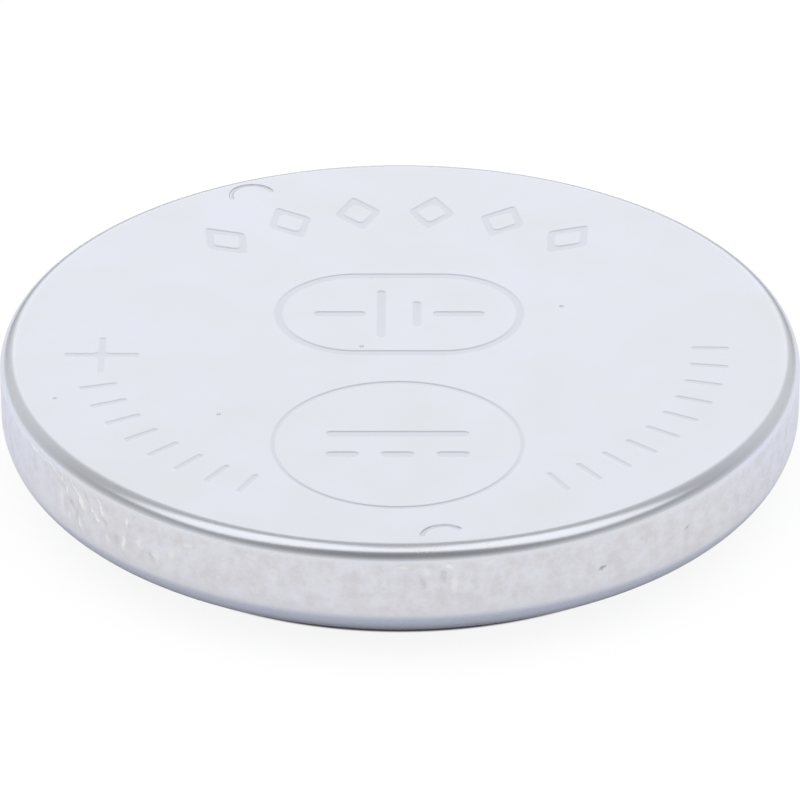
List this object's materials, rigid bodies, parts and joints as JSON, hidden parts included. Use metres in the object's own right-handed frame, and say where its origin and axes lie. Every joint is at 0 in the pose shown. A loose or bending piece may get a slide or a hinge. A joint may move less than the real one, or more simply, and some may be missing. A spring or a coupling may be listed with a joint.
{
  "type": "lithium coin cell",
  "caption": "Flat round lithium cell: steel can curled over a plastic seal ring and a stepped steel cap, with lithium, separator, cathode pellet and grid inside.",
  "frame": {"origin": "middle of the negative face, which the cell rests on", "axes": "+Z along the axis of the cell, from the negative face to the positive face; +X to the right and +Y away from the viewer with the stamped marks upright"},
  "size_m": [0.02, 0.02, 0.0032],
  "materials": {
    "can_steel": "nickel-plated stainless steel, deep drawn, satin with fine draw marks on the wall",
    "grid_steel": "stainless steel grid, plain",
    "cathode_mix": "pressed manganese dioxide powder, matt and slightly grainy",
    "separator_fleece": "non-woven polypropylene fleece",
    "lithium_metal": "rolled lithium foil, soft and dull silver",
    "seal_plastic": "injection-moulded polypropylene, milky white",
    "cap_steel": "nickel-plated stainless steel, pressed, satin"
  },
  "bodies": {
    "root": {"positive_can": "can_steel", "collector_grid": "grid_steel", "cathode_pellet": "cathode_mix", "separator": "separator_fleece", "lithium_anode": "lithium_metal", "gasket": "seal_plastic", "negative_cap": "cap_steel"}
  },
  "joints": []
}
